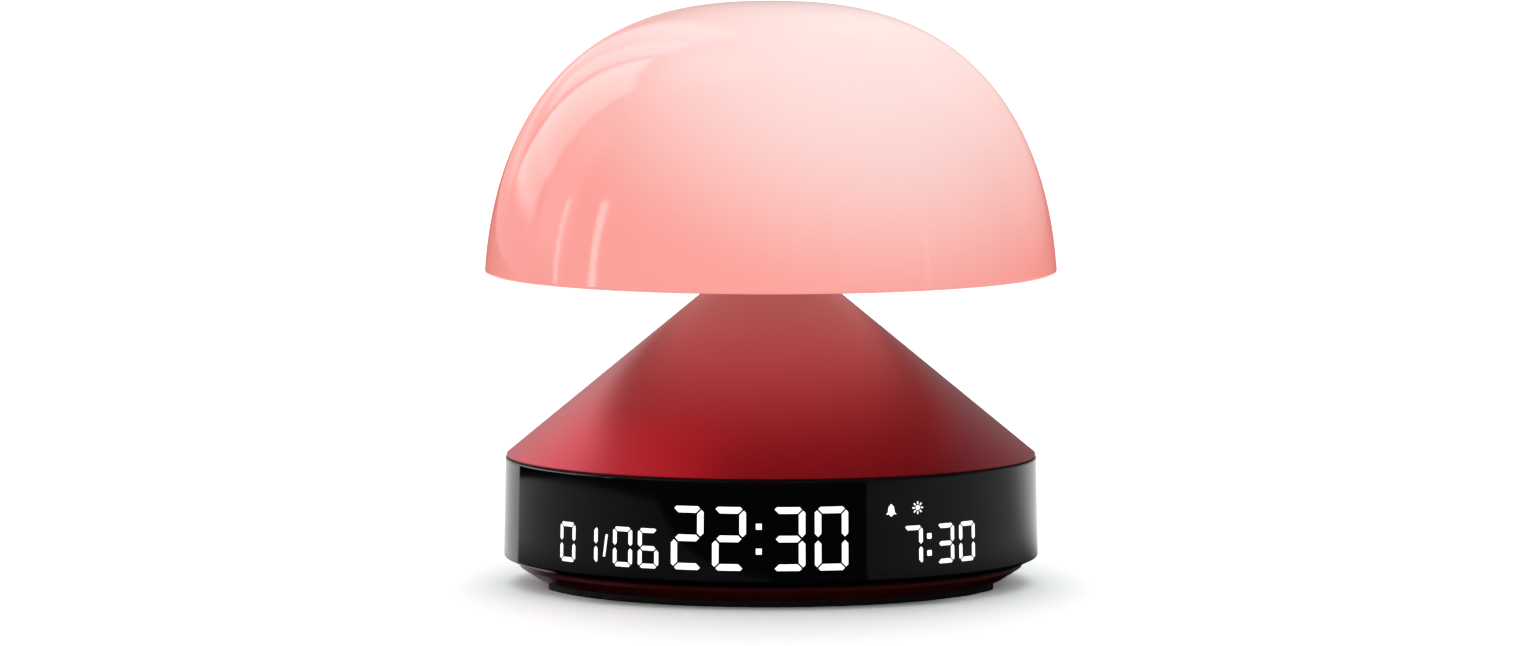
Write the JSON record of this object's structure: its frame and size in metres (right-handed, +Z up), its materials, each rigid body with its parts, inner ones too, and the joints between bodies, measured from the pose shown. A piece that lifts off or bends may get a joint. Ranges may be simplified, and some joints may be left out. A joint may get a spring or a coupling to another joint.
{
  "type": "sunrise alarm clock",
  "caption": "Sunrise alarm clock: a lit dome shade that presses down on a satin red metal cone, over a round black base with a wraparound digital display, rear keys and a battery hatch.",
  "frame": {"origin": "centre of the rubber feet's underside, where the clock stands", "axes": "+Z up along the lamp's axis, -Y out of the middle of the display, +X to the right of someone reading it"},
  "size_m": [0.1302, 0.1302, 0.1325],
  "materials": {
    "shade_polycarbonate": "polished opal polycarbonate, lit from inside",
    "red_anodised": "bead-blasted, anodised satin red",
    "band_black": "polished piano black",
    "character_lit": "opal window, lit white",
    "character_dark": "smoked window, unlit",
    "cover_burgundy": "fine moulded satin",
    "foot_rubber": "matt moulded rubber",
    "chassis_black": "moulded, matt",
    "tray_white": "moulded white, matt",
    "key_black": "polished moulding",
    "mat_silicone": "translucent grey silicone",
    "board_green": "solder mask over glass-fibre laminate",
    "board_white": "white solder mask on an aluminium core",
    "flex_amber": "polyimide film",
    "led_package": "phosphor resin in a white frame",
    "chip_black": "moulded epoxy",
    "capacitor_sleeve": "shrunk sleeve",
    "connector_nylon": "natural nylon",
    "steel_zinc": "zinc plated",
    "steel_spring": "drawn spring steel",
    "nickel_plate": "nickel plated",
    "cell_steel": "bright pressed steel",
    "wire_red": "insulated wire",
    "ribbon_white": "flat flexible cable",
    "ferrite": "sintered ferrite",
    "cone_paper": "pressed paper"
  },
  "bodies": {
    "root": {"alarm_icons": "character_lit", "alarm_segments_dark": "character_dark", "alarm_segments_lit": "character_lit", "base_cover": "cover_burgundy", "board_chips": "chip_black", "board_connectors": "connector_nylon", "board_screws": "steel_zinc", "capacitors": "capacitor_sleeve", "cell_contact": "nickel_plate", "chassis": "chassis_black", "coin_cell": "cell_steel", "cone_housing": "red_anodised", "cone_screws": "steel_zinc", "cover_screws": "steel_zinc", "date_segments_dark": "character_dark", "date_segments_lit": "character_lit", "display_band": "band_black", "display_flex": "flex_amber", "display_lights": "led_package", "display_ribbon": "ribbon_white", "head_leads": "wire_red", "key_board": "board_green", "key_mat": "mat_silicone", "key_ribbon": "ribbon_white", "light_chamber": "tray_white", "main_board": "board_green", "neck_nut": "steel_zinc", "neck_spigot": "steel_zinc", "press_sensor": "board_green", "retaining_ring": "steel_spring", "return_spring": "steel_spring", "rubber_feet": "foot_rubber", "speaker_cone": "cone_paper", "speaker_frame": "steel_zinc", "speaker_magnet": "ferrite", "time_segments_dark": "character_dark", "time_segments_lit": "character_lit", "usb_socket": "nickel_plate", "usb_tongue": "chip_black"},
    "lamp_head": {"dome_shade": "shade_polycarbonate", "reflector_tray": "tray_white", "led_board": "board_white", "led_packages": "led_package", "led_screws": "steel_zinc", "sensor_magnet": "nickel_plate"},
    "time_key": {"time_key": "key_black"},
    "light_key": {"light_key": "key_black"},
    "alarm_key": {"alarm_key": "key_black"},
    "minus_key": {"minus_key": "key_black"},
    "plus_key": {"plus_key": "key_black"},
    "battery_hatch": {"battery_hatch": "cover_burgundy"}
  },
  "joints": [
    {"name": "head_press", "type": "slide", "parent": "root", "child": "lamp_head", "axis": [0, 0, -1], "range_m": [0, 0.001], "stiffness_N_per_m": 1500, "springref_m": -0.002, "deforming": ["return_spring", "head_leads"]},
    {"name": "time_key_press", "type": "slide", "parent": "root", "child": "time_key", "axis": [0, -1, 0], "range_m": [0, 0.0006], "stiffness_N_per_m": 800, "springref_m": -0.001},
    {"name": "light_key_press", "type": "slide", "parent": "root", "child": "light_key", "axis": [0, -1, 0], "range_m": [0, 0.0006], "stiffness_N_per_m": 800, "springref_m": -0.001},
    {"name": "alarm_key_press", "type": "slide", "parent": "root", "child": "alarm_key", "axis": [0, -1, 0], "range_m": [0, 0.0006], "stiffness_N_per_m": 800, "springref_m": -0.001},
    {"name": "minus_key_press", "type": "slide", "parent": "root", "child": "minus_key", "axis": [0, -1, 0], "range_m": [0, 0.0006], "stiffness_N_per_m": 800, "springref_m": -0.001},
    {"name": "plus_key_press", "type": "slide", "parent": "root", "child": "plus_key", "axis": [0, -1, 0], "range_m": [0, 0.0006], "stiffness_N_per_m": 800, "springref_m": -0.001},
    {"name": "hatch_twist", "type": "hinge", "parent": "root", "child": "battery_hatch", "pos_m": [-0.02, -0.004, 0.0024], "axis": [0, 0, 1], "range_deg": [0, 40]}
  ]
}
